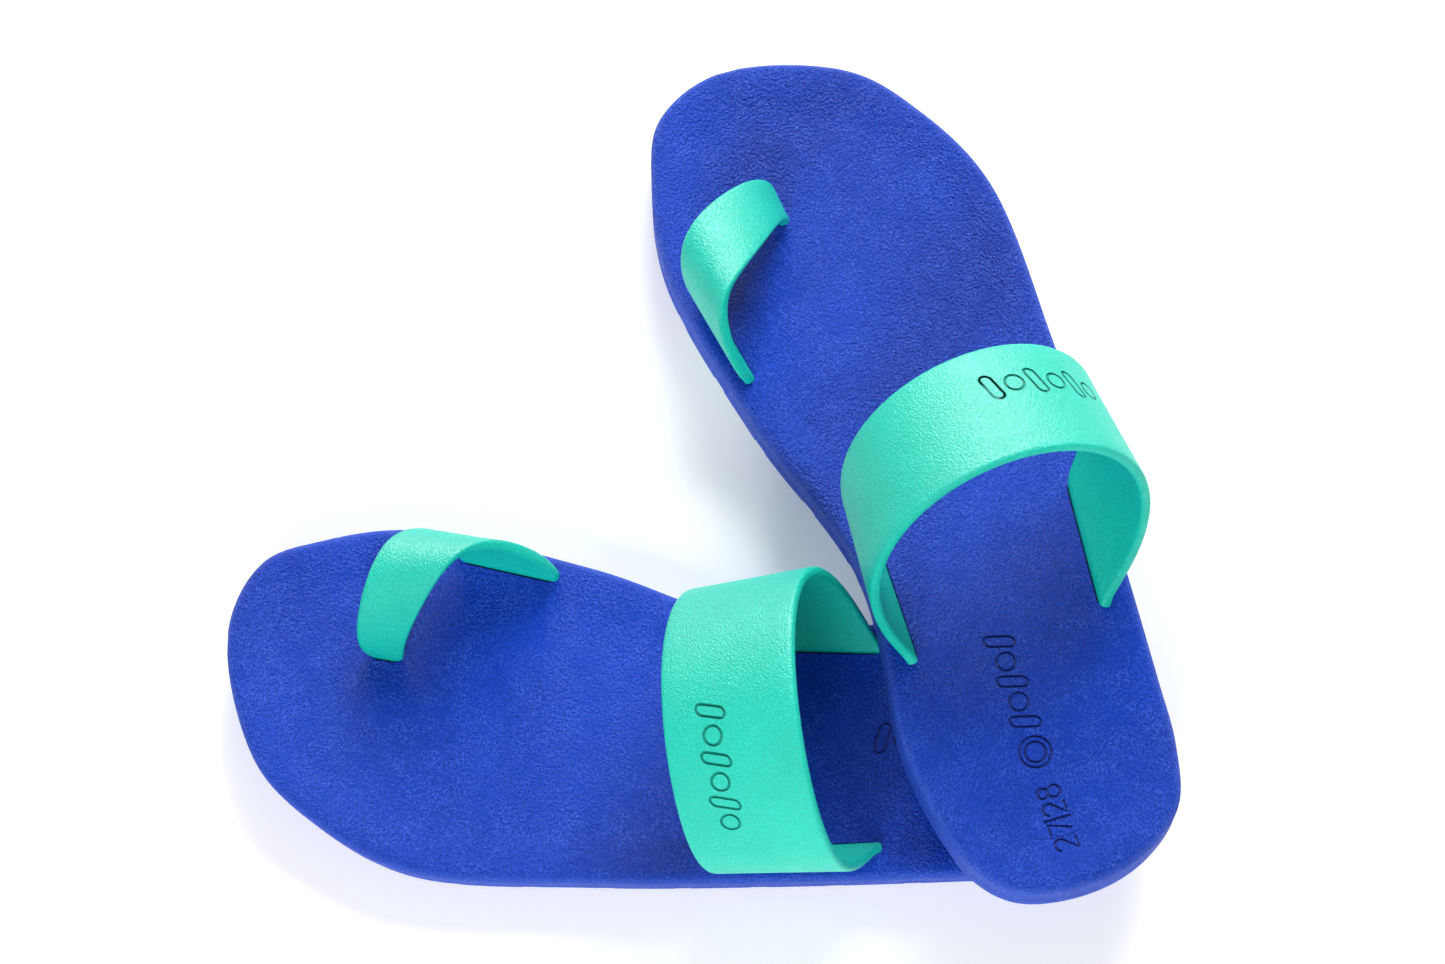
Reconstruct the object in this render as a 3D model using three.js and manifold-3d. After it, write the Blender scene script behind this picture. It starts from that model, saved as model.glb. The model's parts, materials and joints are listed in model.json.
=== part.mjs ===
// A pair of children's sandals: one moulded footbed and outsole each, with a toe loop and
// an instep strap that pass through slots in the sole and lock on keeper plates underneath.
// The left sandal lies flat. The right one lies across its heel with its toe on the ground.
//
// Each sandal is modelled as a right one in its own frame, in millimetres: +X from heel to
// toe, +Y towards the inner (medial) side of the foot, +Z up, z = 0 on the ground.
// The left sandal is the same model mirrored in Y.

import * as THREE from 'three';
import { mergeVertices } from 'three/addons/utils/BufferGeometryUtils.js';
import Module from 'manifold-3d';

const wasm = await Module();
wasm.setup();

// ---------- driving dimensions ----------
const LENGTH = 186;            // sole, heel to toe
const RIM_HEIGHT = 11.5;       // top of the raised rim above the ground
const DISH_DEPTH = 1.6;        // footbed surface below the rim
const TREAD_THICKNESS = 4.2;   // outsole layer
const GLUE_LINE = 0.3;         // gap kept between glued or touching pieces
const TOE_SPRING = 4.5;        // how far the toe tip curls up
const SPRING_START = 0.7;      // where the curl begins, as a fraction of LENGTH
const STATIONS = 30;           // cross-sections along the sole

const FLEX_STATION = 0.58;     // ball of the foot, as a fraction of LENGTH
const FLEX_GAP = 0.4;

const GROOVE_PITCH = 15.5;
const GROOVE_WIDTH = 4;
const GROOVE_DEPTH = 2;

const STRAP_THICKNESS = 2.2;
const STRAP_ROUNDING = 0.55;
const SLOT_CLEARANCE = 0.35;
const NECK_INSET = 1.2;        // shoulder at each side of a strap end, where it enters its slot

const POCKET_DEPTH = 3;        // recess under the sole that holds a keeper plate
const KEEPER_THICKNESS = 1.2;
const KEEPER_BOTTOM = 1.5;     // height of a keeper plate's underside
const BEAD_BOTTOM = 0.4;       // height of the locking bead's underside
const BEAD_THICKNESS = 0.8;
const BEAD_OVERHANG = 1;       // how far the bead stands out from the strap neck
const KEEPER_OUTBOARD = 2.4;   // keeper edge towards the outside of the sole
const KEEPER_INBOARD = 5;      // keeper edge towards the middle of the sole
const KEEPER_END = 1.5;        // keeper length past each end of its slot

const RIGHT_YAW = -72.65;      // degrees, right sandal turned across the left one
const RIGHT_PITCH = 6.86;      // degrees, its plane rising towards the left sandal's heel
const RIGHT_ROLL = 1.7;        // degrees, its inner edge raised by the left sandal's strap
const RIGHT_HEEL = [17.9, 38.4];

const FLEX_X = FLEX_STATION * LENGTH;
const FOOTBED_TOP = RIM_HEIGHT - DISH_DEPTH;
const STRAP_BASE = RIM_HEIGHT + 0.4;   // height where a strap reaches its full width
const SHOULDER = 0.6;                  // height of the shoulder below it

// Outline of the sole as fractions of LENGTH: [along, across] on each side of the foot.
const HEEL_TIP = [0, -0.026];
const TOE_TIP = [1, 0.086];
const INNER_EDGE = [
  [0.014, 0.045], [0.055, 0.084], [0.12, 0.104], [0.2, 0.114], [0.4, 0.099], [0.6, 0.163],
  [0.8, 0.205], [0.9, 0.191], [0.965, 0.164],
];
const OUTER_EDGE = [
  [0.014, -0.095], [0.055, -0.149], [0.12, -0.168], [0.2, -0.173], [0.4, -0.181], [0.6, -0.184],
  [0.8, -0.173], [0.9, -0.122], [0.965, -0.058],
];

// Slots: rear and front end of each, in millimetres on the footbed.
const SLOTS = {
  instep_medial: { rear: [52.4, 14.2], front: [79.3, 14.6], outboard: 1 },
  instep_lateral: { rear: [52.8, -26.5], front: [81.2, -28.3], outboard: -1 },
  toe_medial: { rear: [118.8, 28.2], front: [139.2, 32.6], outboard: 1 },
  toe_inner: { rear: [150, 11.5], front: [157.6, 12.7], outboard: -1 },
};

// Straps: each edge is an arch from its first slot to its second. reach is how far the arch
// bulges past each slot and height is above the footbed. forward and inward are the lean of its
// top, and twist is the extra lean towards its first slot.
const STRAP_SHAPES = {
  instep_strap: { slots: ['instep_medial', 'instep_lateral'], leanPower: 0.7, steps: 34 },
  toe_loop: { slots: ['toe_medial', 'toe_inner'], leanPower: 1.2, steps: 24 },
};

// The bands are soft, and those of each sandal have taken their own set.
const STRAP_SETS = {
  left: {
    instep_strap: {
      front: { reach: [6.2, 4.8], height: 36.6, forward: 15.2, inward: 2.5, twist: 3 },
      rear: { reach: [8.5, 7.3], height: 49.2, forward: 17.1, inward: 5.1, twist: 2.7 },
    },
    toe_loop: {
      front: { reach: [0, 1.3], height: 16.9, forward: 4.8, inward: 7.4, twist: 3.4 },
      rear: { reach: [0, 0], height: 20.1, forward: 3.2, inward: 8.4, twist: 5.8 },
    },
  },
  right: {
    instep_strap: {
      front: { reach: [3.5, 5.5], height: 40.6, forward: 17.7, inward: 0.3, twist: -1 },
      rear: { reach: [6.3, 9.2], height: 47.9, forward: 20.2, inward: -2.2, twist: -0.9 },
    },
    toe_loop: {
      front: { reach: [0, 1.4], height: 16.9, forward: 1.3, inward: 7.8, twist: 2.3 },
      rear: { reach: [0, 0.6], height: 18.8, forward: -1.4, inward: 8.1, twist: 7.5 },
    },
  },
};

const BLUE = new THREE.MeshStandardMaterial({ color: 0x3058bc, roughness: 0.6, metalness: 0 });
const MINT = new THREE.MeshStandardMaterial({ color: 0x32d9bf, roughness: 0.5, metalness: 0 });
const WHITE = new THREE.MeshStandardMaterial({ color: 0xd8dcdc, roughness: 0.4, metalness: 0 });

// ---------- helpers ----------
function toSolid(geometry) {
  const bare = geometry.index ? geometry.clone() : mergeVertices(geometry);
  bare.deleteAttribute('normal');
  bare.deleteAttribute('uv');
  const merged = mergeVertices(bare);
  return new wasm.Manifold(new wasm.Mesh({
    numProp: 3,
    vertProperties: new Float32Array(merged.attributes.position.array),
    triVerts: new Uint32Array(merged.index.array),
  }));
}

function toGeometry(solid) {
  const mesh = solid.getMesh();
  const geometry = new THREE.BufferGeometry();
  geometry.setAttribute('position', new THREE.BufferAttribute(new Float32Array(mesh.vertProperties), 3));
  geometry.setIndex(new THREE.BufferAttribute(new Uint32Array(mesh.triVerts), 1));
  return geometry;
}

function meshFrom(points, faces) {
  const geometry = new THREE.BufferGeometry();
  geometry.setAttribute('position', new THREE.Float32BufferAttribute(points.flat(), 3));
  geometry.setIndex(faces.flat());
  return geometry;
}

function block(low, high, turn = 0, about = [0, 0]) {
  const size = low.map((value, axis) => high[axis] - value);
  const geometry = new THREE.BoxGeometry(...size);
  geometry.translate(...low.map((value, axis) => value + size[axis] / 2));
  geometry.rotateZ(turn);
  geometry.translate(about[0], about[1], 0);
  return toSolid(geometry);
}

// How far the sole has curled up at x.
function springAt(x) {
  const past = Math.max(0, x / LENGTH - SPRING_START) / (1 - SPRING_START);
  return TOE_SPRING * past ** 2;
}

// ---------- sole ----------
const outlinePoints = [HEEL_TIP, ...INNER_EDGE, TOE_TIP, ...[...OUTER_EDGE].reverse()];
const outlineCurve = new THREE.CatmullRomCurve3(
  outlinePoints.map(([along, across]) => new THREE.Vector3(along * LENGTH, across * LENGTH, 0)),
  true, 'centripetal');
const TOE_PARAMETER = (INNER_EDGE.length + 1) / outlinePoints.length;

// The outline point at x between two curve parameters, one at the heel and one at the toe.
function outlineAt(x, heelParameter, toeParameter) {
  let low = heelParameter;
  let high = toeParameter;
  for (let step = 0; step < 40; step += 1) {
    const middle = (low + high) / 2;
    if (outlineCurve.getPoint(middle).x < x) low = middle;
    else high = middle;
  }
  return outlineCurve.getPoint((low + high) / 2);
}

// The outline as a closed ring: heel tip, inner side, toe tip, outer side back.
function outlineRing() {
  const stationX = (station) => (LENGTH / 2) * (1 - Math.cos((Math.PI * station) / STATIONS));
  const ring = [outlineCurve.getPoint(0)];
  for (let station = 1; station < STATIONS; station += 1) {
    ring.push(outlineAt(stationX(station), 0, TOE_PARAMETER));
  }
  ring.push(outlineCurve.getPoint(TOE_PARAMETER));
  for (let station = STATIONS - 1; station > 0; station -= 1) {
    ring.push(outlineAt(stationX(station), 1, TOE_PARAMETER));
  }
  return ring;
}

const OUTLINE = outlineRing();

// The outline moved inwards by inset, at height z plus the curl of the toe.
function insetRing(inset, z) {
  const count = OUTLINE.length;
  return OUTLINE.map((point, index) => {
    const before = OUTLINE[(index + count - 1) % count];
    const after = OUTLINE[(index + 1) % count];
    const along = after.clone().sub(before).normalize();
    const x = point.x + along.y * inset;
    const y = point.y - along.x * inset;
    return [x, y, z + springAt(x)];
  });
}

// A closed solid through a stack of rings, [inset, z] each from the bottom to the top.
function soleLayer(levels) {
  const points = [];
  for (const [inset, z] of levels) points.push(...insetRing(inset, z));
  const count = OUTLINE.length;
  const faces = [];
  for (let level = 0; level + 1 < levels.length; level += 1) {
    for (let index = 0; index < count; index += 1) {
      const next = (index + 1) % count;
      const a = level * count + index;
      const b = level * count + next;
      faces.push([a, a + count, b], [b, a + count, b + count]);
    }
  }
  const top = (levels.length - 1) * count;
  for (let station = 0; station < STATIONS; station += 1) {
    const inner = station;
    const innerNext = station + 1;
    const outer = (count - station) % count;
    const outerNext = count - station - 1;
    if (inner !== outer) {
      faces.push([inner, innerNext, outer]);
      faces.push([top + inner, top + outer, top + innerNext]);
    }
    if (innerNext !== outerNext) {
      faces.push([outer, innerNext, outerNext]);
      faces.push([top + outer, top + outerNext, top + innerNext]);
    }
  }
  return toSolid(meshFrom(points, faces));
}

function footbed() {
  return soleLayer([
    [0, TREAD_THICKNESS + GLUE_LINE],
    [0, RIM_HEIGHT - 1.6],
    [0.5, RIM_HEIGHT - 0.5],
    [1.7, RIM_HEIGHT],
    [3.2, RIM_HEIGHT - 0.2],
    [8, FOOTBED_TOP],
  ]);
}

function outsole() {
  let solid = soleLayer([
    [0.8, 0],
    [0, 0.9],
    [0, TREAD_THICKNESS],
  ]);
  for (let x = GROOVE_PITCH; x < LENGTH - GROOVE_PITCH / 2; x += GROOVE_PITCH) {
    const roof = GROOVE_DEPTH + springAt(x);
    solid = solid.subtract(block(
      [x - GROOVE_WIDTH / 2, -LENGTH, -5], [x + GROOVE_WIDTH / 2, LENGTH, roof]));
  }
  return solid;
}

// ---------- slots, pockets and keepers ----------
function slotFrame(name) {
  const { rear, front, outboard } = SLOTS[name];
  const middle = [(rear[0] + front[0]) / 2, (rear[1] + front[1]) / 2];
  return {
    middle,
    turn: Math.atan2(front[1] - rear[1], front[0] - rear[0]),
    half: Math.hypot(front[0] - rear[0], front[1] - rear[1]) / 2,
    lift: springAt(middle[0]),
    outboard,
  };
}

function plate(slot, margin, low, high) {
  const outside = KEEPER_OUTBOARD + margin;
  const inside = KEEPER_INBOARD + margin;
  const across = slot.outboard > 0 ? [-inside, outside] : [-outside, inside];
  const end = slot.half + KEEPER_END + margin;
  return block([-end, across[0], low], [end, across[1], high], slot.turn, slot.middle);
}

function slotCut(slot) {
  const halfWidth = STRAP_THICKNESS / 2 + SLOT_CLEARANCE;
  const end = slot.half - NECK_INSET + SLOT_CLEARANCE;
  return block([-end, -halfWidth, -5], [end, halfWidth, 3 * RIM_HEIGHT], slot.turn, slot.middle);
}

function pocketCut(slot) {
  return plate(slot, GLUE_LINE, -5, POCKET_DEPTH + slot.lift);
}

function keeper(slot) {
  const low = KEEPER_BOTTOM + slot.lift;
  return plate(slot, 0, low, low + KEEPER_THICKNESS).subtract(slotCut(slot));
}

function bead(slot) {
  const low = BEAD_BOTTOM + slot.lift;
  const halfWidth = STRAP_THICKNESS / 2 + BEAD_OVERHANG;
  const end = slot.half - NECK_INSET;
  return block([-end, -halfWidth, low], [end, halfWidth, low + BEAD_THICKNESS],
    slot.turn, slot.middle);
}

// ---------- straps ----------
// One edge of a strap as points from the first slot to the second.
function archEdge(first, second, base, edge, leanPower, steps) {
  const chord = Math.hypot(first[0] - second[0], first[1] - second[1]);
  const along = [(first[0] - second[0]) / chord, (first[1] - second[1]) / chord];
  const radius = (chord + edge.reach[0] + edge.reach[1]) / 2;
  const fromSecond = radius - edge.reach[1];
  const centre = [second[0] + along[0] * fromSecond, second[1] + along[1] * fromSecond];
  const start = Math.PI - Math.asin((radius - edge.reach[0]) / radius);
  const end = Math.PI - Math.asin((radius - edge.reach[1]) / radius);
  const points = [];
  for (let step = 0; step <= steps; step += 1) {
    const angle = start - ((start + end) * step) / steps;
    const foot = Math.cos(angle > 0 ? start : end);
    const rise = Math.max(0, (Math.cos(angle) - foot) / (1 - foot));
    const lean = (edge.forward + edge.twist * Math.sin(angle)) * rise ** leanPower;
    points.push(new THREE.Vector3(
      centre[0] + along[0] * radius * Math.sin(angle) + lean,
      centre[1] + along[1] * radius * Math.sin(angle) + edge.inward * rise,
      base[0] + (base[1] - base[0]) * (step / steps) + edge.height * rise));
  }
  return points;
}

// The neck below a strap end: straight down through the slot, a shoulder narrower than the strap.
function neckSections(slotName, heights) {
  const { rear, front } = SLOTS[slotName];
  const toRear = new THREE.Vector3(rear[0] - front[0], rear[1] - front[1], 0).normalize();
  return heights.map(([z, inset]) => ({
    front: new THREE.Vector3(front[0], front[1], z).addScaledVector(toRear, inset),
    rear: new THREE.Vector3(rear[0], rear[1], z).addScaledVector(toRear, -inset),
  }));
}

// Eight points round a strap section, from its front to its rear edge and back underneath.
function sectionRing(section, normal) {
  const width = section.rear.clone().sub(section.front).normalize();
  const half = STRAP_THICKNESS / 2;
  const soft = STRAP_ROUNDING;
  const place = (origin, along, up) => origin.clone()
    .addScaledVector(width, along).addScaledVector(normal, up).toArray();
  return [
    place(section.front, 0, half - soft), place(section.front, soft, half),
    place(section.rear, -soft, half), place(section.rear, 0, half - soft),
    place(section.rear, 0, soft - half), place(section.rear, -soft, -half),
    place(section.front, soft, -half), place(section.front, 0, soft - half),
  ];
}

function strap(shape, set) {
  const { leanPower, steps } = shape;
  const [firstName, secondName] = shape.slots;
  const first = SLOTS[firstName];
  const second = SLOTS[secondName];
  const surface = [firstName, secondName].map((name) => STRAP_BASE + slotFrame(name).lift);
  const front = archEdge(first.front, second.front, surface, set.front, leanPower, steps);
  const rear = archEdge(first.rear, second.rear, surface, set.rear, leanPower, steps);
  const arch = front.map((point, index) => ({ front: point, rear: rear[index] }));
  const neck = (name) => {
    const { lift } = slotFrame(name);
    return neckSections(name, [
      [BEAD_BOTTOM + BEAD_THICKNESS / 2 + lift, NECK_INSET],
      [FOOTBED_TOP - 1 + lift, NECK_INSET],
      [STRAP_BASE - SHOULDER + lift, NECK_INSET],
    ]);
  };
  const sections = [...neck(firstName), ...arch, ...neck(secondName).reverse()];
  const centres = sections.map((one) => one.front.clone().add(one.rear).multiplyScalar(0.5));
  const points = [];
  sections.forEach((section, index) => {
    const ahead = centres[Math.min(index + 1, centres.length - 1)];
    const behind = centres[Math.max(index - 1, 0)];
    const along = ahead.clone().sub(behind);
    const width = section.rear.clone().sub(section.front);
    const normal = width.cross(along).normalize();
    points.push(...sectionRing(section, normal));
  });
  const ring = 8;
  const faces = [];
  for (let index = 0; index + 1 < sections.length; index += 1) {
    for (let corner = 0; corner < ring; corner += 1) {
      const a = index * ring + corner;
      const b = index * ring + ((corner + 1) % ring);
      faces.push([a, b, a + ring], [b, b + ring, a + ring]);
    }
  }
  const last = (sections.length - 1) * ring;
  for (let corner = 1; corner + 1 < ring; corner += 1) {
    faces.push([0, corner + 1, corner], [last, last + corner, last + corner + 1]);
  }
  return toSolid(meshFrom(points, faces))
    .add(bead(slotFrame(firstName)))
    .add(bead(slotFrame(secondName)));
}

// ---------- one sandal ----------
function sandal(side) {
  const group = new THREE.Group();
  const addPiece = (name, solid, material) => {
    const mesh = new THREE.Mesh(toGeometry(solid), material);
    mesh.name = `${side}_${name}`;
    group.add(mesh);
  };
  let upper = footbed();
  let lower = outsole();
  for (const name of Object.keys(SLOTS)) {
    const slot = slotFrame(name);
    upper = upper.subtract(slotCut(slot));
    lower = lower.subtract(slotCut(slot)).subtract(pocketCut(slot));
    addPiece(`keeper_${name}`, keeper(slot), WHITE);
  }
  const rear = block([-LENGTH, -LENGTH, -LENGTH], [FLEX_X - FLEX_GAP / 2, LENGTH, LENGTH]);
  const fore = block([FLEX_X + FLEX_GAP / 2, -LENGTH, -LENGTH], [2 * LENGTH, LENGTH, LENGTH]);
  addPiece('footbed_rear', upper.intersect(rear), BLUE);
  addPiece('footbed_fore', upper.intersect(fore), BLUE);
  addPiece('outsole_rear', lower.intersect(rear), BLUE);
  addPiece('outsole_fore', lower.intersect(fore), BLUE);
  for (const [name, shape] of Object.entries(STRAP_SHAPES)) {
    addPiece(name, strap(shape, STRAP_SETS[side][name]), MINT);
  }
  return group;
}

// ---------- the pair ----------
const left = sandal('left');
left.scale.y = -1;

const right = sandal('right');
right.rotateX(THREE.MathUtils.degToRad(RIGHT_PITCH));
right.rotateZ(THREE.MathUtils.degToRad(RIGHT_YAW));
right.rotateX(THREE.MathUtils.degToRad(RIGHT_ROLL));
right.position.set(RIGHT_HEEL[0], RIGHT_HEEL[1], 0);
right.updateMatrixWorld(true);
right.position.z = -new THREE.Box3().setFromObject(right, true).min.z;

const pair = new THREE.Group();
pair.add(left, right);
pair.updateMatrixWorld(true);
const bounds = new THREE.Box3().setFromObject(pair, true);
pair.position.set(
  -(bounds.min.x + bounds.max.x) / 2, -(bounds.min.y + bounds.max.y) / 2, -bounds.min.z);

export default pair;
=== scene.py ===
"""Looks for a pair of children's sandals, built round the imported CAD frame.

Each sandal is shaped as a right one in its own millimetre frame (x from heel to toe, y towards
the inner side of the foot, z up from the ground) and then placed by the frame's joints and mounts.
The left sandal is the same shape mirrored in y.
"""
import json
import math

import bmesh
import bpy
import numpy as np
from mathutils import Matrix, Vector


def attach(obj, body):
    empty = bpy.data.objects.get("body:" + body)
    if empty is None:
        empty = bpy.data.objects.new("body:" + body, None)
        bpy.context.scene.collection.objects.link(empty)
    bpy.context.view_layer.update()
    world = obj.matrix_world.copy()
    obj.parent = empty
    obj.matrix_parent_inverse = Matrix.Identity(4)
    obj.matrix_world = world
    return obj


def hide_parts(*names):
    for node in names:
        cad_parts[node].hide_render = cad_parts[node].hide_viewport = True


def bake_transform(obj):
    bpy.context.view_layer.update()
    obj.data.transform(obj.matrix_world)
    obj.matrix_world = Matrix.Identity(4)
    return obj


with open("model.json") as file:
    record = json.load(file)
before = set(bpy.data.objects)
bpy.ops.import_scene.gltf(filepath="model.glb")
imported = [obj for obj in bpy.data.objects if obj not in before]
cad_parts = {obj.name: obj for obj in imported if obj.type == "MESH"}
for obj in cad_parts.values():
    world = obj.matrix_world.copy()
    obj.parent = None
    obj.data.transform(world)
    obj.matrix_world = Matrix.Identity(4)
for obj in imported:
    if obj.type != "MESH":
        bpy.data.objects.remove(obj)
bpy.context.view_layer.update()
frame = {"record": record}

MM = 0.001

# ---------- driving dimensions, in millimetres ----------
LENGTH = 186.0
RIM_HEIGHT = 11.5
DISH_DEPTH = 1.6
TREAD_THICKNESS = 4.2
GLUE_LINE = 0.3
TOE_SPRING = 4.5
SPRING_START = 0.7
FLEX_X = 0.58 * LENGTH
FOOTBED_TOP = RIM_HEIGHT - DISH_DEPTH
GROOVE_PITCH = 15.5
GROOVE_WIDTH = 4.0
GROOVE_DEPTH = 2.0
STRAP_THICKNESS = 2.2
STRAP_BASE = RIM_HEIGHT + 0.4
SLOT_CLEARANCE = 0.35
NECK_INSET = 1.2
POCKET_DEPTH = 3.0
KEEPER_BOTTOM = 1.5
KEEPER_THICKNESS = 1.2
KEEPER_OUTBOARD = 2.4
KEEPER_INBOARD = 5.0
KEEPER_END = 1.5
BEAD_BOTTOM = 0.4
BEAD_THICKNESS = 0.8
BEAD_OVERHANG = 1.0

HEEL_TIP = (0, -0.026)
TOE_TIP = (1, 0.086)
INNER_EDGE = [
    (0.014, 0.045), (0.055, 0.084), (0.12, 0.104), (0.2, 0.114), (0.4, 0.099), (0.6, 0.163),
    (0.8, 0.205), (0.9, 0.191), (0.965, 0.164),
]
OUTER_EDGE = [
    (0.014, -0.095), (0.055, -0.149), (0.12, -0.168), (0.2, -0.173), (0.4, -0.181), (0.6, -0.184),
    (0.8, -0.173), (0.9, -0.122), (0.965, -0.058),
]
SLOTS = {
    "instep_medial": {"rear": (52.4, 14.2), "front": (79.3, 14.6), "outboard": 1},
    "instep_lateral": {"rear": (52.8, -26.5), "front": (81.2, -28.3), "outboard": -1},
    "toe_medial": {"rear": (118.8, 28.2), "front": (139.2, 32.6), "outboard": 1},
    "toe_inner": {"rear": (150, 11.5), "front": (157.6, 12.7), "outboard": -1},
}
STRAP_SHAPES = {
    "instep_strap": {"slots": ("instep_medial", "instep_lateral"), "lean_power": 0.7, "steps": 110},
    "toe_loop": {"slots": ("toe_medial", "toe_inner"), "lean_power": 1.2, "steps": 80},
}
STRAP_SETS = {
    "left": {
        "instep_strap": {
            "front": {"reach": (6.2, 4.8), "height": 36.6, "forward": 15.2, "inward": 2.5, "twist": 3},
            "rear": {"reach": (8.5, 7.3), "height": 49.2, "forward": 17.1, "inward": 5.1, "twist": 2.7},
        },
        "toe_loop": {
            "front": {"reach": (0, 1.3), "height": 16.9, "forward": 4.8, "inward": 7.4, "twist": 3.4},
            "rear": {"reach": (0, 0), "height": 20.1, "forward": 3.2, "inward": 8.4, "twist": 5.8},
        },
    },
    "right": {
        "instep_strap": {
            "front": {"reach": (3.5, 5.5), "height": 40.6, "forward": 17.7, "inward": 0.3, "twist": -1},
            "rear": {"reach": (6.3, 9.2), "height": 47.9, "forward": 20.2, "inward": -2.2, "twist": -0.9},
        },
        "toe_loop": {
            "front": {"reach": (0, 1.4), "height": 16.9, "forward": 1.3, "inward": 7.8, "twist": 2.3},
            "rear": {"reach": (0, 0.6), "height": 18.8, "forward": -1.4, "inward": 8.1, "twist": 7.5},
        },
    },
}
SEAM = 0.05            # hairline left between the two layers of a sole
SKIN = 0.08            # keeps the fine outline inside the coarser solids
WELD = 0.002           # points this close after a cut are joined
RIM_RADIUS = 2.3       # round edge of the rim
DISH_RUN = 8.0         # how far in from the rim the footbed keeps falling
DISH_STEPS = 14
EDGE_BREAK = 0.12      # small chamfer on the edges where the two layers meet
STRAP_ROUNDING = 0.8   # round edges of a strap
CUT_LOW = -5           # where slot and pocket cutters start, under the ground
CUT_HIGH = 30          # where slot cutters end, over the rim
GROOVE_CUT_LOW = -3.0
GROOVE_REACH = 60.0    # half the length of a tread groove's cutter
STATIONS = 150         # cross-sections along a visible sole
COLUMNS = 14           # quads across the middle of a footbed

# ---------- engraved marks, in millimetres ----------
ENGRAVING_RADIUS = 0.34
ENGRAVING_SINK = 0.12  # how far an engraved groove's middle lies under the surface
HEEL_LINE = -4         # y of the middle of the heel's marks
SIZE_START = 8.0       # x where the size number starts
SIZE_HEIGHT = 4.6
CREST_START = 29.0     # x of the middle of the double ring
CREST_RINGS = [(3.2, 40), (2.1, 32)]   # radius and number of sides
HEEL_ROW_START = 35.5
HEEL_ROW = {"pitch": 4.3, "height": 6.0, "count": 5}
STRAP_ROW_START = 78   # along the strap from its first end
STRAP_ROW_SHARE = 0.37  # across the strap, as a share of its width from its front edge
STRAP_ROW = {"pitch": 4.6, "height": 6.0, "count": 6}


# ---------- placing a sandal ----------
def joint(name):
    """The record's joint of that name."""
    return next(one for one in frame["record"]["behaviour"]["joints"] if one["name"] == name)


def mount(name):
    """The record's mount of that name."""
    return next(one for one in frame["record"]["mounts"] if one["name"] == name)


class Side:
    """One sandal's own frame: where its millimetre coordinates lie in the world."""

    def __init__(self, name):
        self.name = name
        self.mirrored = name == "left"
        flex = joint(f"{name}_toe_flex")
        self.up = -Vector(mount(f"{name}_sole_rest")["axis"]).normalized()
        toes_up = Vector(flex["axis"]).normalized()
        self.inner = toes_up if self.mirrored else -toes_up
        self.forward = self.inner.cross(self.up)
        if self.mirrored:
            self.forward = -self.forward
        hinge = Vector(flex["pos_m"])
        self.origin = hinge - self.forward * FLEX_X * MM - self.up * RIM_HEIGHT * MM

    def place(self, points):
        """World metres of an array of local millimetres."""
        axes = np.array([self.forward, self.inner, self.up])
        return np.array(self.origin) + np.asarray(points, float) @ axes * MM


SIDES = [Side("left"), Side("right")]


# ---------- mesh helpers ----------
def make_object(name, points, faces, side, material=None):
    """A mesh object from local millimetre points; a mirrored side turns its faces round."""
    if side.mirrored:
        faces = [tuple(reversed(face)) for face in faces]
    mesh = bpy.data.meshes.new(name)
    mesh.from_pydata([tuple(point) for point in side.place(points)], [], [tuple(f) for f in faces])
    mesh.validate()
    piece = bpy.data.objects.new(name, mesh)
    bpy.context.scene.collection.objects.link(piece)
    if material is not None:
        mesh.materials.append(material)
    return piece


def stitch(rows):
    """Quads between successive closed rows of equal length, given as lists of vertex numbers."""
    faces = []
    for low, high in zip(rows, rows[1:]):
        count = len(low)
        for index in range(count):
            after = (index + 1) % count
            faces.append((low[index], low[after], high[after], high[index]))
    return faces


def apply_modifiers(piece):
    """Replace a piece's mesh by what its modifiers make of it."""
    graph = bpy.context.evaluated_depsgraph_get()
    result = bpy.data.meshes.new_from_object(piece.evaluated_get(graph))
    piece.modifiers.clear()
    old = piece.data
    piece.data = result
    bpy.data.meshes.remove(old)


def apply_boolean(piece, cutter, operation="DIFFERENCE"):
    """Cut a piece by a cutter or join them; the cutter is used up and its material is kept."""
    modifier = piece.modifiers.new("cut", "BOOLEAN")
    modifier.operation = operation
    modifier.solver = "EXACT"
    modifier.material_mode = "TRANSFER"
    modifier.object = cutter
    apply_modifiers(piece)
    bpy.data.objects.remove(cutter)


def smooth(piece, degrees=35):
    """Join the points that cuts leave very close together, then shade smooth up to an angle."""
    mesh = piece.data
    shape = bmesh.new()
    shape.from_mesh(mesh)
    bmesh.ops.remove_doubles(shape, verts=shape.verts, dist=WELD * MM)
    shape.to_mesh(mesh)
    shape.free()
    for polygon in mesh.polygons:
        polygon.use_smooth = True
    mesh.set_sharp_from_angle(angle=math.radians(degrees))


def prism(name, outline, low, high, side):
    """A closed prism over a counter-clockwise outline of local (x, y) points."""
    count = len(outline)
    points = [(x, y, low) for x, y in outline] + [(x, y, high) for x, y in outline]
    faces = [tuple(range(count - 1, -1, -1)), tuple(range(count, 2 * count))]
    faces += stitch([list(range(count)), list(range(count, 2 * count))])
    return make_object(name, points, faces, side)


def rounded_box(x0, x1, y0, y1, radius, steps=6):
    """Counter-clockwise outline of a rectangle with round corners."""
    outline = []
    corners = [(x1 - radius, y1 - radius, 0), (x0 + radius, y1 - radius, 90),
               (x0 + radius, y0 + radius, 180), (x1 - radius, y0 + radius, 270)]
    for cx, cy, start in corners:
        for step in range(steps + 1):
            angle = math.radians(start + 90 * step / steps)
            outline.append((cx + radius * math.cos(angle), cy + radius * math.sin(angle)))
    return outline


def turned(outline, turn, about):
    """An outline turned by an angle in radians and moved to a point."""
    c, s = math.cos(turn), math.sin(turn)
    return [(about[0] + x * c - y * s, about[1] + x * s + y * c) for x, y in outline]


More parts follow.
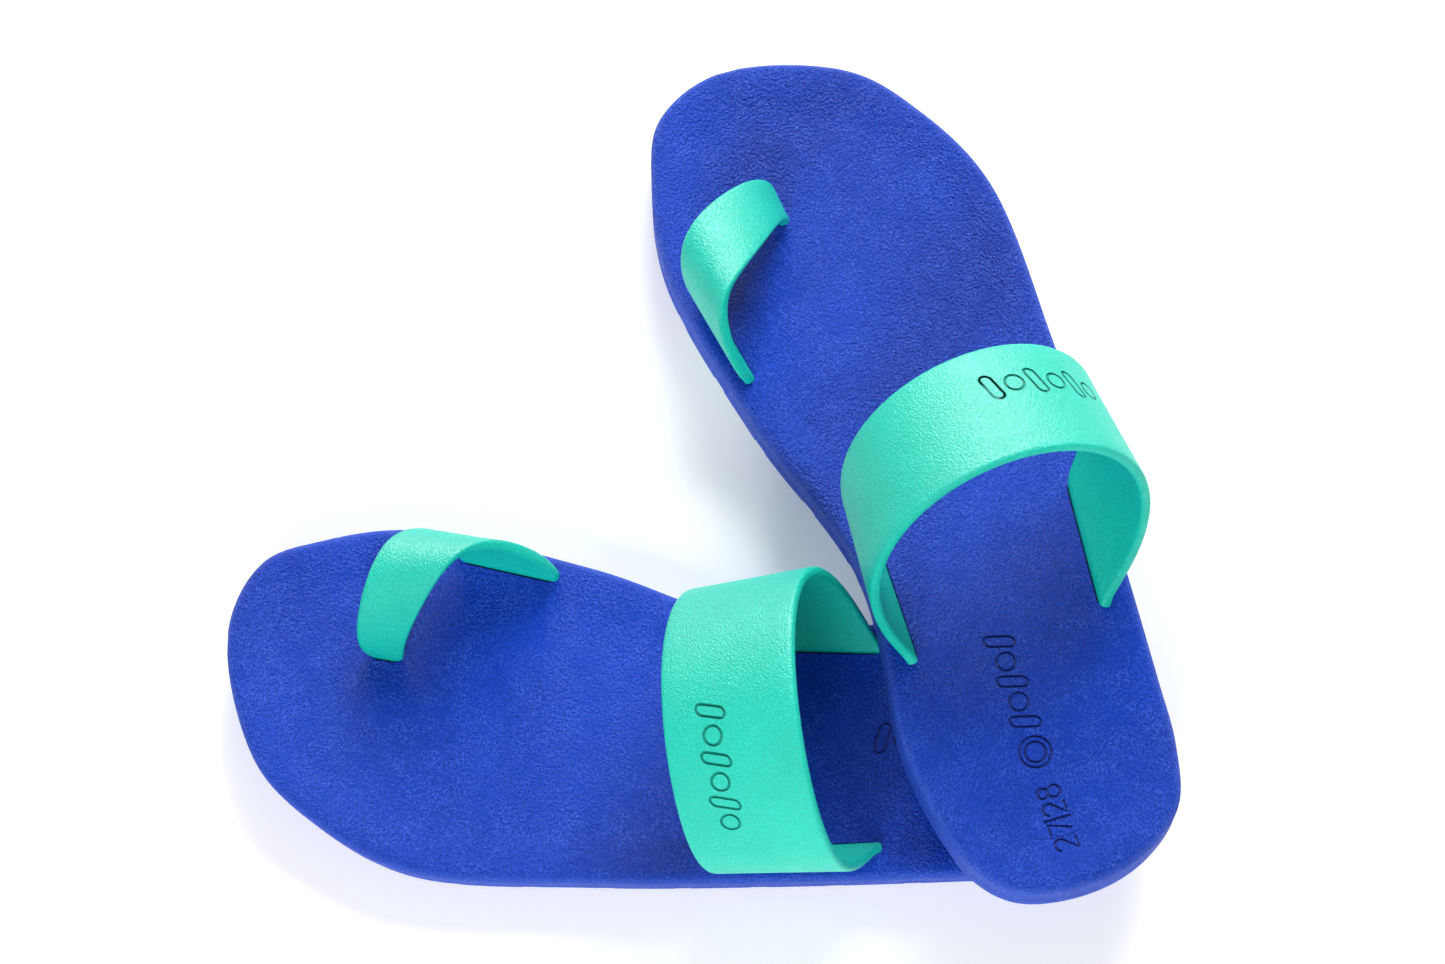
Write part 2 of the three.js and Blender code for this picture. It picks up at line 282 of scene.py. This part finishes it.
def engrave(piece, strokes, side, material):
    """Press round-bottomed grooves into a piece along strokes; one that meets itself is closed.

    Each stroke has a cut of its own, because cutters that cross in one cut spoil the mesh.
    """
    for stroke in strokes:
        closed = np.allclose(stroke[0], stroke[-1])
        if closed:
            stroke = stroke[:-1]
        curve = bpy.data.curves.new("groove", "CURVE")
        curve.dimensions = "3D"
        curve.bevel_depth = ENGRAVING_RADIUS * MM
        curve.bevel_resolution = 1
        curve.use_fill_caps = True
        spline = curve.splines.new("POLY")
        spline.points.add(len(stroke) - 1)
        spline.use_cyclic_u = bool(closed)
        for point, spot in zip(spline.points, side.place(stroke)):
            point.co = (*spot, 1)
        wire = bpy.data.objects.new("groove", curve)
        bpy.context.scene.collection.objects.link(wire)
        graph = bpy.context.evaluated_depsgraph_get()
        mesh = bpy.data.meshes.new_from_object(wire.evaluated_get(graph))
        bpy.data.objects.remove(wire)
        # the cutter's material goes onto the groove walls; the groove materials carry painted shade
        mesh.materials.append(material)
        cutter = bpy.data.objects.new("groove", mesh)
        bpy.context.scene.collection.objects.link(cutter)
        apply_boolean(piece, cutter)


def arc_mark(x, y, radius, start, end, count=24):
    """Points of an arc between two angles in degrees."""
    angles = np.radians(np.linspace(start, end, count + 1))
    return np.column_stack([x + radius * np.cos(angles), y + radius * np.sin(angles)])


def bar_mark(x, half_length, half_width, slant):
    """Outline of a slanted bar with round ends, standing across the row at x."""
    top = arc_mark(0, half_length - half_width, half_width, 0, 180, 8)
    outline = np.concatenate([top, -top, top[:1]])
    outline[:, 0] += x + slant * outline[:, 1]
    return outline


def mark_row(pitch, height, count):
    """A plain repeating ornament: outlined bars and rings in a row that starts at zero."""
    half = height / 2
    marks = []
    for index in range(count):
        x = index * pitch
        if index % 2:
            marks.append(arc_mark(x, 0, 0.62 * half, 0, 360))
        else:
            marks.append(bar_mark(x, half, 0.36 * half, 0.25))
    return marks


def size_marks(height):
    """The double size 27|28 as single strokes, with its middle line on y = 0."""
    width = 0.54 * height
    half, upper = width / 2, 0.23 * height
    two = np.concatenate([arc_mark(half, height - half, half, 170, -35, 14), [(0, 0), (width, 0)]])
    seven = np.array([(0, height), (width, height), (0.35 * width, 0)])
    eight = [arc_mark(half, half, half, 90, 450), arc_mark(half, height - upper, upper, -90, 270)]
    bar = np.array([(0, -0.1 * height), (0, 1.1 * height)])
    pitch = 1.4 * width
    marks = [two, seven + (pitch, 0), bar + (1.95 * pitch, 0), two + (2.2 * pitch, 0)]
    marks += [ring + (3.2 * pitch, 0) for ring in eight]
    return [mark - (0, height / 2) for mark in marks]


# ---------- sole outline ----------
def spring_at(x):
    """How far the sole has curled up at x."""
    past = np.clip(np.asarray(x, float) / LENGTH - SPRING_START, 0, None) / (1 - SPRING_START)
    return TOE_SPRING * past ** 2


def catmull_rom(points, samples):
    """Points of a closed centripetal Catmull-Rom curve, samples for each stretch."""
    points = np.asarray(points, float)
    count = len(points)
    out = []
    for index in range(count):
        p0, p1, p2, p3 = (points[(index + shift) % count] for shift in (-1, 0, 1, 2))
        d0, d1, d2 = (np.linalg.norm(b - a) ** 0.5 for a, b in ((p0, p1), (p1, p2), (p2, p3)))
        m1 = ((p1 - p0) / d0 - (p2 - p0) / (d0 + d1) + (p2 - p1) / d1) * d1
        m2 = ((p2 - p1) / d1 - (p3 - p1) / (d1 + d2) + (p3 - p2) / d2) * d1
        t = np.linspace(0, 1, samples, endpoint=False)[:, None]
        out.append((2 * t**3 - 3 * t**2 + 1) * p1 + (t**3 - 2 * t**2 + t) * m1
                   + (-2 * t**3 + 3 * t**2) * p2 + (t**3 - t**2) * m2)
    return np.concatenate(out)


def outline_ring():
    """The outline as a ring: heel tip, inner side, toe tip, outer side back, with outward normals."""
    control = [HEEL_TIP, *INNER_EDGE, TOE_TIP, *reversed(OUTER_EDGE)]
    samples = 200
    dense = catmull_rom(control, samples) * LENGTH
    along = np.roll(dense, -1, axis=0) - np.roll(dense, 1, axis=0)
    normal = np.stack([-along[:, 1], along[:, 0]], axis=1)
    normal /= np.linalg.norm(normal, axis=1)[:, None]
    toe = (len(INNER_EDGE) + 1) * samples
    wanted = LENGTH / 2 * (1 - np.cos(np.pi * np.arange(STATIONS + 1) / STATIONS))

    def side_points(part):
        order = np.argsort(dense[part, 0], kind="stable")
        x = dense[part, 0][order]
        columns = [np.interp(wanted, x, column[part][order]) for column in
                   (dense[:, 0], dense[:, 1], normal[:, 0], normal[:, 1])]
        return np.stack(columns, axis=1)

    inner = side_points(np.arange(0, toe + 1))
    outer = side_points(np.r_[np.arange(toe, len(dense)), 0])
    ring = np.concatenate([inner, outer[-2:0:-1]])
    ring[:, 2:] /= np.linalg.norm(ring[:, 2:], axis=1)[:, None]
    return ring[:, :2], ring[:, 2:]


OUTLINE, OUTWARD = outline_ring()


def inset_ring(inset, z):
    """The outline moved inwards, at height z plus the curl of the toe."""
    spots = OUTLINE - OUTWARD * (inset + SKIN)
    return np.column_stack([spots, z + spring_at(spots[:, 0])])


def flat(x, y):
    """The bend of a cap that has none."""
    return 0 * x


def cap_rows(ring, bend):
    """Inside points of a ring, one row across for each station between the two tips."""
    count = len(ring)
    rows = []
    share = np.linspace(0, 1, COLUMNS + 1)[1:-1, None]
    for station in range(1, STATIONS):
        inner, outer = ring[station], ring[count - station]
        row = inner + (outer - inner) * share
        row[:, 2] += bend(row[:, 0], row[:, 1])
        rows.append(row)
    return rows


def cap_faces(start, first, flip):
    """Faces of a cap: start is the ring's first vertex number, first is that of the inside points."""
    count = 2 * STATIONS
    inside = COLUMNS - 1

    def row(station):
        if station in (0, STATIONS):
            return [start + station]
        middle = [first + (station - 1) * inside + column for column in range(inside)]
        return [start + station, *middle, start + count - station]

    faces = []
    for station in range(STATIONS):
        near, far = row(station), row(station + 1)
        if len(near) == 1:
            faces += [(near[0], a, b) for a, b in zip(far, far[1:])]
        elif len(far) == 1:
            faces += [(a, far[0], b) for a, b in zip(near, near[1:])]
        else:
            faces += [(a, c, d, b) for a, b, c, d in zip(near, near[1:], far, far[1:])]
    return [tuple(reversed(face)) for face in faces] if flip else faces


def sole_shell(levels, bend_top):
    """Points and faces of a closed layer through rings of (inset, z), bottom first."""
    rings = [inset_ring(inset, z) for inset, z in levels]
    count = len(OUTLINE)
    rows = [list(range(level * count, (level + 1) * count)) for level in range(len(rings))]
    faces = [tuple(reversed(face)) for face in stitch(rows)]
    points = list(np.concatenate(rings))
    for ring_index, flip, bend in ((0, False, flat), (len(rings) - 1, True, bend_top)):
        first = len(points)
        for row in cap_rows(rings[ring_index], bend):
            points.extend(row)
        faces += cap_faces(ring_index * count, first, flip)
    return points, faces


# ---------- slots and pockets ----------
def slot_frame(name):
    """A slot's middle, direction, half length, height of the curl there and outward side."""
    rear, front = SLOTS[name]["rear"], SLOTS[name]["front"]
    middle = ((rear[0] + front[0]) / 2, (rear[1] + front[1]) / 2)
    return {
        "middle": middle,
        "turn": math.atan2(front[1] - rear[1], front[0] - rear[0]),
        "half": math.hypot(front[0] - rear[0], front[1] - rear[1]) / 2,
        "lift": float(spring_at(middle[0])),
        "outboard": SLOTS[name]["outboard"],
    }


def slot_cutter(name, side):
    """A cutter for the slot that a strap passes through."""
    slot = slot_frame(name)
    end = slot["half"] - NECK_INSET + SLOT_CLEARANCE
    half = STRAP_THICKNESS / 2 + SLOT_CLEARANCE
    outline = turned(rounded_box(-end, end, -half, half, half * 0.98), slot["turn"], slot["middle"])
    return prism("slot_cutter", outline, CUT_LOW, CUT_HIGH, side)


def keeper_outline(name, margin, radius):
    """Outline of a keeper plate, made larger all round by a margin."""
    slot = slot_frame(name)
    outside, inside = KEEPER_OUTBOARD + margin, KEEPER_INBOARD + margin
    low, high = (-inside, outside) if slot["outboard"] > 0 else (-outside, inside)
    end = slot["half"] + KEEPER_END + margin
    return turned(rounded_box(-end, end, low, high, radius), slot["turn"], slot["middle"])


# ---------- materials ----------
class Shader:
    """A small helper that adds and links nodes of one material."""

    def __init__(self, name):
        self.material = bpy.data.materials.new(name)
        self.material.use_nodes = True
        self.tree = self.material.node_tree
        self.surface = self.tree.nodes["Principled BSDF"]
        self.coordinates = self.add("ShaderNodeTexCoord").outputs["Object"]

    def add(self, kind):
        return self.tree.nodes.new(kind)

    def link(self, out, into):
        self.tree.links.new(out, into)

    def noise(self, scale, detail, roughness=0.5):
        node = self.add("ShaderNodeTexNoise")
        node.inputs["Scale"].default_value = scale
        node.inputs["Detail"].default_value = detail
        node.inputs["Roughness"].default_value = roughness
        self.link(self.coordinates, node.inputs["Vector"])
        return node

    def cells(self, scale, vector):
        node = self.add("ShaderNodeTexVoronoi")
        node.feature = "SMOOTH_F1"
        node.inputs["Scale"].default_value = scale
        self.link(vector, node.inputs["Vector"])
        return node

    def span(self, value, low, high, to_low, to_high):
        node = self.add("ShaderNodeMapRange")
        node.inputs["From Min"].default_value = low
        node.inputs["From Max"].default_value = high
        node.inputs["To Min"].default_value = to_low
        node.inputs["To Max"].default_value = to_high
        self.link(value, node.inputs["Value"])
        return node.outputs["Result"]

    def maths(self, operation, first, second):
        node = self.add("ShaderNodeMath")
        node.operation = operation
        self.link(first, node.inputs[0])
        self.link(second, node.inputs[1])
        return node.outputs[0]

    def mix(self, factor, first, second):
        node = self.add("ShaderNodeMix")
        node.data_type = "RGBA"
        self.link(factor, node.inputs[0])
        for index, value in ((6, first), (7, second)):
            if isinstance(value, tuple):
                node.inputs[index].default_value = (*value, 1)
            else:
                self.link(value, node.inputs[index])
        return node.outputs[2]

    def bump(self, height, distance, strength, under=None):
        node = self.add("ShaderNodeBump")
        node.inputs["Distance"].default_value = distance
        node.inputs["Strength"].default_value = strength
        self.link(height, node.inputs["Height"])
        if under is not None:
            self.link(under, node.inputs["Normal"])
        return node.outputs["Normal"]


def moulded_rubber(name, deep, light, sheen_color, grain, depth, gloss, shine, rim_highlight=0.0):
    """Soft moulded rubber: a pebbled skin, mottled colour, pale specks of painted glint, a painted
    highlight on the rim if asked for, and a satin gloss.
    """
    shader = Shader(name)
    warp = shader.noise(grain * 0.45, 2.0)
    shift = shader.add("ShaderNodeVectorMath")
    shift.operation = "MULTIPLY_ADD"
    shader.link(warp.outputs["Color"], shift.inputs[0])
    shift.inputs[1].default_value = (0.5 / grain,) * 3
    shader.link(shader.coordinates, shift.inputs[2])
    pebbles = shader.cells(grain, shift.outputs[0])
    pores = shader.noise(grain * 1.25, 3.0, 0.6).outputs["Fac"]
    patches = shader.noise(24, 3.0, 0.55).outputs["Fac"]
    scuffs_and_sheen = shader.noise(170, 5.0, 0.7).outputs["Fac"]
    height = shader.maths(
        "ADD", shader.span(pebbles.outputs["Distance"], 0.0, 0.75, 1.0, 0.0),
        shader.span(pores, 0.3, 0.7, 0.0, 0.55))
    tone = shader.maths(
        "ADD", shader.span(patches, 0.3, 0.7, 0.0, 0.5), shader.span(pores, 0.35, 0.65, 0.0, 0.5))
    # pale specks where pores and scuffs meet: painted glints, the sparkle of light on the grain, mixed
    # towards a paler colour
    painted_sheen = shader.maths(
        "MULTIPLY", shader.span(pores, 0.48, 0.62, 0.0, 1.0), shader.span(scuffs_and_sheen, 0.38, 0.62, 0.05, 0.6))
    # painted highlight: faces that turn away from straight up, the rim and the sides, are painted paler
    if rim_highlight > 0:
        facing = shader.add("ShaderNodeSeparateXYZ")
        shader.link(shader.add("ShaderNodeTexCoord").outputs["Normal"], facing.inputs[0])
        painted_sheen = shader.maths("ADD", painted_sheen, shader.span(facing.outputs[2], 0.7, 0.96, rim_highlight, 0.0))
    base = shader.mix(tone, deep, light)
    shader.link(shader.mix(painted_sheen, base, sheen_color), shader.surface.inputs["Base Color"])
    rough = shader.maths(
        "ADD", shader.span(scuffs_and_sheen, 0.35, 0.7, gloss + 0.06, gloss - 0.04),
        shader.span(height, 0.5, 1.5, 0.07, -0.05))
    shader.link(rough, shader.surface.inputs["Roughness"])
    waves = shader.bump(patches, 0.0006, 0.25)
    shader.link(shader.bump(height, depth, 0.9, waves), shader.surface.inputs["Normal"])
    shader.surface.inputs["Specular IOR Level"].default_value = shine
    return shader.material


def plain_plastic(name, color, gloss):
    """Plain moulded plastic with a fine grain."""
    shader = Shader(name)
    grain = shader.noise(2200, 3.0)
    patches = shader.noise(60, 2.0)
    darker = tuple(0.8 * part for part in color)
    shader.link(
        shader.mix(shader.span(patches.outputs["Fac"], 0.3, 0.7, 0, 1), darker, color),
        shader.surface.inputs["Base Color"])
    shader.link(
        shader.span(grain.outputs["Fac"], 0.3, 0.7, gloss - 0.05, gloss + 0.05),
        shader.surface.inputs["Roughness"])
    shader.link(
        shader.bump(grain.outputs["Fac"], 0.00005, 0.5), shader.surface.inputs["Normal"])
    return shader.material


BLUE = moulded_rubber(
    "sole_blue", deep=(0.002, 0.035, 0.37), light=(0.005, 0.074, 0.72), sheen_color=(0.07, 0.16, 0.82),
    grain=1900, depth=0.00048, gloss=0.48, shine=0.16, rim_highlight=0.35)
MINT = moulded_rubber(
    "strap_mint", deep=(0.001, 0.54, 0.41), light=(0.002, 0.74, 0.555), sheen_color=(0.02, 0.82, 0.65),
    grain=2500, depth=0.00014, gloss=0.36, shine=0.4)
# darker copies of the rubber for the walls of engraved grooves: painted shade in the grooves, not a
# colour of their own
BLUE_GROOVE_SHADE = moulded_rubber(
    "sole_blue_groove_shade", deep=(0.002, 0.02, 0.2), light=(0.004, 0.032, 0.34), sheen_color=(0.01, 0.05, 0.4),
    grain=1700, depth=0.0003, gloss=0.55, shine=0.3)
MINT_GROOVE_SHADE = moulded_rubber(
    "strap_mint_groove_shade", deep=(0.001, 0.3, 0.22), light=(0.002, 0.42, 0.31), sheen_color=(0.01, 0.48, 0.36),
    grain=2300, depth=0.0002, gloss=0.5, shine=0.3)
WHITE = plain_plastic("keeper_plastic", (0.62, 0.65, 0.66), 0.45)


# ---------- footbed ----------
def cup(x, y):
    """How far the middle of the footbed sinks: a shallow cup at the heel and one at the ball."""
    heel = 0.7 * np.exp(-((x - 30) / 26) ** 2 - ((y + 3) / 15) ** 2)
    ball = 0.35 * np.exp(-((x - 125) / 30) ** 2 - (y / 22) ** 2)
    return -(heel + ball)


def footbed_levels():
    """Rings of the upper layer as (inset, z): its side, the round rim and the fall to the dish."""
    low = TREAD_THICKNESS + SEAM
    levels = [(EDGE_BREAK, low), (0.0, low + EDGE_BREAK), (0.0, low + 1.2), (0.0, 7.0)]
    for degrees in range(0, 91, 10):
        angle = math.radians(degrees)
        levels.append((RIM_RADIUS * (1 - math.cos(angle)),
                       RIM_HEIGHT - RIM_RADIUS * (1 - math.sin(angle))))
    for step in range(1, DISH_STEPS + 1):
        share = step / DISH_STEPS
        levels.append((RIM_RADIUS + 0.4 + DISH_RUN * share,
                       RIM_HEIGHT - DISH_DEPTH * share * share * (3 - 2 * share)))
    return levels


def on_footbed(marks, start, piece, side):
    """Drop flat marks on the heel from x = start, readable from above on both sandals."""
    way = -1 if side.mirrored else 1
    strokes = []
    for mark in marks:
        stroke = []
        for x, y in zip(start + mark[:, 0], HEEL_LINE + way * mark[:, 1]):
            above = Vector(side.place([(x, y, 3 * RIM_HEIGHT)])[0])
            spot = piece.ray_cast(above, -side.up)[1]
            stroke.append((x, y, (spot - side.origin).dot(side.up) / MM - ENGRAVING_SINK))
        strokes.append(np.array(stroke))
    return strokes


def build_footbed(side):
    points, faces = sole_shell(footbed_levels(), cup)
    piece = make_object(f"{side.name}_footbed", points, faces, side, BLUE)
    for name in SLOTS:
        apply_boolean(piece, slot_cutter(name, side))
    digits = on_footbed(size_marks(SIZE_HEIGHT), SIZE_START, piece, side)
    rings = [arc_mark(0, 0, radius, 0, 360, count) for radius, count in CREST_RINGS]
    crest = on_footbed(rings, CREST_START, piece, side)
    row = on_footbed(mark_row(**HEEL_ROW), HEEL_ROW_START, piece, side)
    engrave(piece, digits + crest + row, side, BLUE_GROOVE_SHADE)
    smooth(piece)
    return piece


# ---------- outsole ----------
def groove_cutter(x, side):
    """A cutter for the tread groove at x, wider at its mouth and with a rounded roof."""
    roof = GROOVE_DEPTH + float(spring_at(x))
    half = GROOVE_WIDTH / 2
    profile = [(x - half - 0.5, GROOVE_CUT_LOW), (x + half + 0.5, GROOVE_CUT_LOW),
               (x + half, roof - 1.6), (x + half - 0.15, roof - 0.5), (x + half - 0.6, roof),
               (x - half + 0.6, roof), (x - half + 0.15, roof - 0.5), (x - half, roof - 1.6)]
    points = [(a, y, b) for y in (-GROOVE_REACH, GROOVE_REACH) for a, b in profile]
    near = list(range(len(profile)))
    far = list(range(len(profile), 2 * len(profile)))
    faces = [tuple(near), tuple(reversed(far))]
    faces += [tuple(reversed(face)) for face in stitch([near, far])]
    return make_object("groove_cutter", points, faces, side)


def build_outsole(side):
    top = TREAD_THICKNESS
    levels = [(1.3, 0.0), (0.75, 0.12), (0.3, 0.42), (0.05, 0.95), (0.0, 1.5), (0.0, top - 1.2),
              (0.0, top - EDGE_BREAK), (EDGE_BREAK, top)]
    points, faces = sole_shell(levels, flat)
    piece = make_object(f"{side.name}_outsole", points, faces, side, BLUE)
    x = GROOVE_PITCH
    while x < LENGTH - GROOVE_PITCH / 2:
        apply_boolean(piece, groove_cutter(x, side))
        x += GROOVE_PITCH
    for name in SLOTS:
        lift = slot_frame(name)["lift"]
        pocket = prism("pocket_cutter", keeper_outline(name, GLUE_LINE, 1.5), CUT_LOW,
                       POCKET_DEPTH + lift, side)
        apply_boolean(piece, pocket)
        apply_boolean(piece, slot_cutter(name, side))
    smooth(piece, 30)
    return piece


# ---------- keeper plates ----------
def build_keeper(name, side):
    lift = slot_frame(name)["lift"]
    low = KEEPER_BOTTOM + lift
    piece = prism(f"{side.name}_keeper_plate_{name}", keeper_outline(name, 0, 1.2), low,
                  low + KEEPER_THICKNESS, side)
    piece.data.materials.append(WHITE)
    apply_boolean(piece, slot_cutter(name, side))
    bevel = piece.modifiers.new("edges", "BEVEL")
    bevel.width = 0.2 * MM
    bevel.segments = 2
    bevel.limit_method = "ANGLE"
    apply_modifiers(piece)
    smooth(piece)
    return piece


# ---------- straps ----------
def arch_edge(first, second, base, edge, lean_power, steps):
    """One edge of a strap as points from its first slot to its second."""
    first, second = np.array(first, float), np.array(second, float)
    chord = np.linalg.norm(first - second)
    along = (first - second) / chord
    radius = (chord + sum(edge["reach"])) / 2
    centre = second + along * (radius - edge["reach"][1])
    start = math.pi - math.asin((radius - edge["reach"][0]) / radius)
    end = math.pi - math.asin((radius - edge["reach"][1]) / radius)
    share = np.linspace(0, 1, steps + 1)
    angle = start - (start + end) * share
    foot = np.where(angle > 0, math.cos(start), math.cos(end))
    rise = np.clip((np.cos(angle) - foot) / (1 - foot), 0, None)
    spots = centre + np.outer(radius * np.sin(angle), along)
    spots[:, 0] += (edge["forward"] + edge["twist"] * np.sin(angle)) * rise ** lean_power
    spots[:, 1] += edge["inward"] * rise
    height = base[0] + (base[1] - base[0]) * share + edge["height"] * rise
    return np.column_stack([spots, height])


def neck(name, front, rear):
    """Sections below a strap end, from the bead up to the shoulder: lists of front and rear points."""
    lift = slot_frame(name)["lift"]
    away = (rear - front) / np.linalg.norm(rear - front)
    rows = [(BEAD_BOTTOM + BEAD_THICKNESS / 2, NECK_INSET), (4.0, NECK_INSET), (7.0, NECK_INSET),
            (FOOTBED_TOP - 0.6, NECK_INSET), (FOOTBED_TOP + 0.2, NECK_INSET * 0.8),
            (FOOTBED_TOP + 0.9, NECK_INSET * 0.35)]
    fronts = [[*(front + away * inset), z + lift] for z, inset in rows]
    rears = [[*(rear - away * inset), z + lift] for z, inset in rows]
    return np.array(fronts), np.array(rears)


def section_profile(width, half, radius):
    """Offsets round a strap section, (along the width from the front, up), outer face first."""
    steps = 4
    across = 10
    corners = [(radius, half - radius, 180, 90), (width - radius, half - radius, 90, 0),
               (width - radius, radius - half, 0, -90), (radius, radius - half, -90, -180)]
    profile = []
    for index, (cx, cy, start, end) in enumerate(corners):
        for step in range(steps + 1):
            angle = math.radians(start + (end - start) * step / steps)
            profile.append((cx + radius * math.cos(angle), cy + radius * math.sin(angle)))
        if index in (0, 2):
            x0, x1 = cx, corners[index + 1][0]
            level = half if index == 0 else -half
            profile += [(x0 + (x1 - x0) * k / across, level) for k in range(1, across)]
    return profile


def strap_sections(name, side):
    """Front edge, rear edge and normal of a strap's sections, from its first bead to its second."""
    shape = STRAP_SHAPES[name]
    first, second = shape["slots"]
    base = [STRAP_BASE + slot_frame(slot)["lift"] for slot in shape["slots"]]
    edges = {}
    for edge, arch in STRAP_SETS[side.name][name].items():
        edges[edge] = arch_edge(SLOTS[first][edge], SLOTS[second][edge], base, arch,
                                shape["lean_power"], shape["steps"])
    ends = [neck(slot, np.array(SLOTS[slot]["front"], float), np.array(SLOTS[slot]["rear"], float))
            for slot in shape["slots"]]
    front = np.concatenate([ends[0][0], edges["front"], ends[1][0][::-1]])
    rear = np.concatenate([ends[0][1], edges["rear"], ends[1][1][::-1]])
    centre = (front + rear) / 2
    along = np.gradient(centre, axis=0)
    width = rear - front
    normal = np.cross(width, along)
    for _ in range(2):
        normal[1:-1] = (normal[:-2] + 2 * normal[1:-1] + normal[2:]) / 4
    normal /= np.linalg.norm(normal, axis=1)[:, None]
    return front, rear, normal


def on_strap(marks, sections):
    """Lay flat marks along the instep strap's outer face."""
    front, rear, normal = sections
    centre = (front + rear) / 2
    steps = np.linalg.norm(np.diff(centre, axis=0), axis=1)
    distance = np.concatenate([[0], np.cumsum(steps)])
    strokes = []
    for mark in marks:
        spot = np.interp(STRAP_ROW_START + mark[:, 0], distance, np.arange(len(distance)))
        low = np.floor(spot).astype(int)
        part = (spot - low)[:, None]

        def between(values):
            return values[low] * (1 - part) + values[low + 1] * part

        width = between(rear) - between(front)
        length = np.linalg.norm(width, axis=1)[:, None]
        across = STRAP_ROW_SHARE + mark[:, 1][:, None] / length
        lift = STRAP_THICKNESS / 2 - ENGRAVING_SINK
        strokes.append(between(front) + width * across + between(normal) * lift)
    return strokes


def build_strap(name, side):
    front, rear, normal = strap_sections(name, side)
    points = []
    rows = []
    for low, high, up in zip(front, rear, normal):
        width = np.linalg.norm(high - low)
        across = (high - low) / width
        up = up - across * (up @ across)
        up /= np.linalg.norm(up)
        profile = section_profile(width, STRAP_THICKNESS / 2, STRAP_ROUNDING)
        rows.append(list(range(len(points), len(points) + len(profile))))
        points += [low + across * x + up * y for x, y in profile]
    faces = stitch(rows)
    faces += [tuple(reversed(rows[0])), tuple(rows[-1])]
    faces = [tuple(reversed(face)) for face in faces]
    piece = make_object(f"{side.name}_{name}_band", points, faces, side, MINT)
    for slot_name in STRAP_SHAPES[name]["slots"]:
        slot = slot_frame(slot_name)
        end = slot["half"] - NECK_INSET
        half = STRAP_THICKNESS / 2 + BEAD_OVERHANG
        outline = turned(rounded_box(-end, end, -half, half, 1.0), slot["turn"], slot["middle"])
        low = BEAD_BOTTOM + slot["lift"]
        bead = prism("bead", outline, low, low + BEAD_THICKNESS, side)
        apply_boolean(piece, bead, "UNION")
    if name == "instep_strap":
        row = on_strap(mark_row(**STRAP_ROW), (front, rear, normal))
        engrave(piece, row, side, MINT_GROOVE_SHADE)
    smooth(piece, 40)
    return piece


# ---------- the pair ----------
def flex_blend(piece, side):
    """Bake a layer of the sole's placement into its mesh; the two points across the ball are worked out
    but not used, so nothing bends.
    """
    start, end = side.place([(0.54 * LENGTH, 0, 6), (0.64 * LENGTH, 0, 6)])
    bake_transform(piece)


for side in SIDES:
    footbed = build_footbed(side)
    outsole = build_outsole(side)
    for piece, layer in ((footbed, "footbed"), (outsole, "outsole")):
        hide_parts(f"{side.name}_{layer}_rear", f"{side.name}_{layer}_fore")
        flex_blend(piece, side)
    for strap_name, body in (("instep_strap", "sandal"), ("toe_loop", "forefoot")):
        band = build_strap(strap_name, side)
        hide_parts(f"{side.name}_{strap_name}")
        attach(band, f"{side.name}_{body}")
        for slot_name in STRAP_SHAPES[strap_name]["slots"]:
            plate = build_keeper(slot_name, side)
            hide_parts(f"{side.name}_keeper_{slot_name}")
            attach(plate, f"{side.name}_{body}")


# ---------- stage ----------
def build_floor():
    mesh = bpy.data.meshes.new("floor")
    reach = 3.0
    mesh.from_pydata([(-reach, -reach, 0), (reach, -reach, 0), (reach, reach, 0), (-reach, reach, 0)],
                     [], [(0, 1, 2, 3)])
    floor = bpy.data.objects.new("floor", mesh)
    bpy.context.scene.collection.objects.link(floor)
    shader = Shader("floor")
    shader.surface.inputs["Base Color"].default_value = (0.93, 0.93, 0.93, 1)
    shader.surface.inputs["Roughness"].default_value = 0.9
    shader.surface.inputs["Emission Color"].default_value = (1, 1, 1, 1)
    shader.surface.inputs["Emission Strength"].default_value = 0.25
    mesh.materials.append(shader.material)
    floor.location.z = -0.0002


def direction(azimuth, elevation):
    """Unit vector from the middle of the stage towards angles in degrees."""
    a, e = math.radians(azimuth), math.radians(elevation)
    return Vector((math.sin(a) * math.cos(e), -math.cos(a) * math.cos(e), math.sin(e)))


def area_light(name, azimuth, elevation, distance, size, power, diffuse=True):
    """A square light aimed at the middle of the stage; without diffuse it only adds reflections."""
    light = bpy.data.lights.new(name, "AREA")
    light.energy = power
    light.size = size
    lamp = bpy.data.objects.new(name, light)
    back = direction(azimuth, elevation)
    lamp.location = back * distance
    lamp.visible_diffuse = diffuse
    lamp.rotation_euler = (-back).to_track_quat("-Z", "Y").to_euler()
    bpy.context.scene.collection.objects.link(lamp)


def build_camera():
    """A long lens, looking down on the pair from over the left sandal's outer side."""
    target = Vector((-0.00373, -0.0011, 0))
    back = direction(189.2, 78.15)
    roll = math.radians(-8.61)
    distance = 0.8454
    data = bpy.data.cameras.new("camera")
    data.sensor_width = 36
    data.lens = 101.4
    data.clip_start = 0.01
    camera = bpy.data.objects.new("camera", data)
    camera.matrix_world = (Matrix.Translation(target + back * distance)
                           @ (-back).to_track_quat("-Z", "Y").to_matrix().to_4x4()
                           @ Matrix.Rotation(roll, 4, "Z"))
    bpy.context.scene.collection.objects.link(camera)
    bpy.context.scene.camera = camera


def build_world():
    world = bpy.data.worlds.new("studio")
    world.use_nodes = True
    background = world.node_tree.nodes["Background"]
    background.inputs["Color"].default_value = (1, 1, 1, 1)
    background.inputs["Strength"].default_value = 0.22
    bpy.context.scene.world = world
    bpy.context.scene.view_settings.view_transform = "Standard"


build_floor()
build_camera()
area_light("key", azimuth=345, elevation=39, distance=1.2, size=0.6, power=14.5)
area_light("fill", azimuth=168, elevation=40, distance=0.8, size=0.35, power=4)
area_light("gloss", azimuth=8, elevation=34, distance=1.1, size=0.5, power=40, diffuse=False)
build_world()
